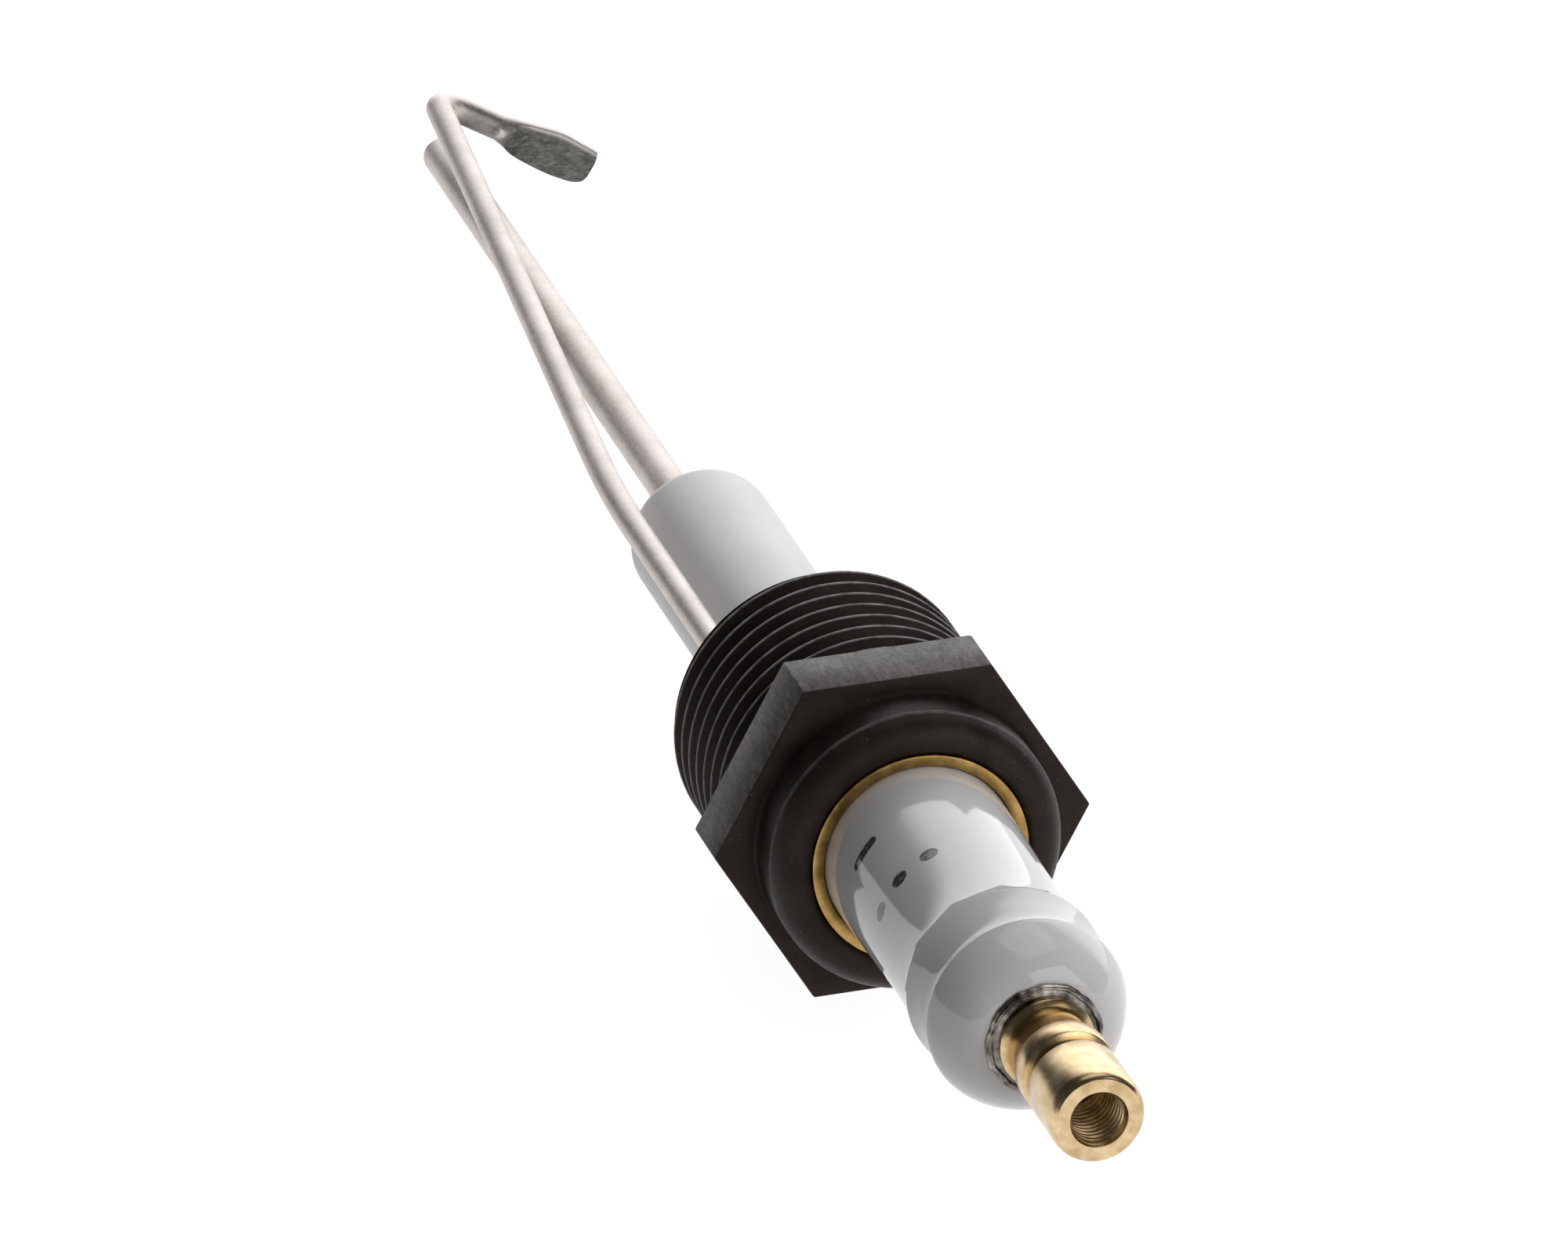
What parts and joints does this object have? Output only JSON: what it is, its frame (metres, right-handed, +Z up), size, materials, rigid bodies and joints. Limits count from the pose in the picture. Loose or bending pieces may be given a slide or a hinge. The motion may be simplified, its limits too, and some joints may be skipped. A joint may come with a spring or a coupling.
{
  "type": "ignition electrode",
  "caption": "Screw-in burner ignition electrode: hexagon steel body, ceramic insulator, brass snap terminal, long centre rod and a ground rod with a flattened hook end.",
  "frame": {"origin": "on the axis, in the plane of the hexagon's sealing face, where the mounting thread begins", "axes": "+Y along the mounting thread towards the electrode tips, +Z up, two flats of the hexagon facing up and down"},
  "size_m": [0.0256, 0.1649, 0.0222],
  "materials": {
    "black_steel": "brown-black oxide, matte, worn grey on the flats and thread crests",
    "copper_washer": "soft annealed copper",
    "plain_steel": "plain turned steel",
    "talc": "pressed powder",
    "brass": "turned brass, bright satin",
    "porcelain": "white glaze at the tail, matte at the nose",
    "electrode_alloy": "drawn heat-resistant alloy, fine satin grain",
    "cement": "matte sealing cement",
    "sealing_glass": "dark conductive glass",
    "nickel_plate": "nickel plate, slightly dimpled",
    "weld_metal": "dull grey weld"
  },
  "bodies": {
    "root": {"hex_body": "black_steel", "seat_washer": "copper_washer", "lower_packing_ring": "plain_steel", "talc_packing": "talc", "crimp_ring": "brass", "insulator": "porcelain", "centre_electrode": "electrode_alloy", "nose_cement": "cement", "glass_seal": "sealing_glass", "terminal_stud": "plain_steel", "stud_cement": "cement", "base_washer": "nickel_plate", "terminal_nut": "brass", "ground_electrode": "electrode_alloy", "ground_weld": "weld_metal"}
  },
  "joints": []
}
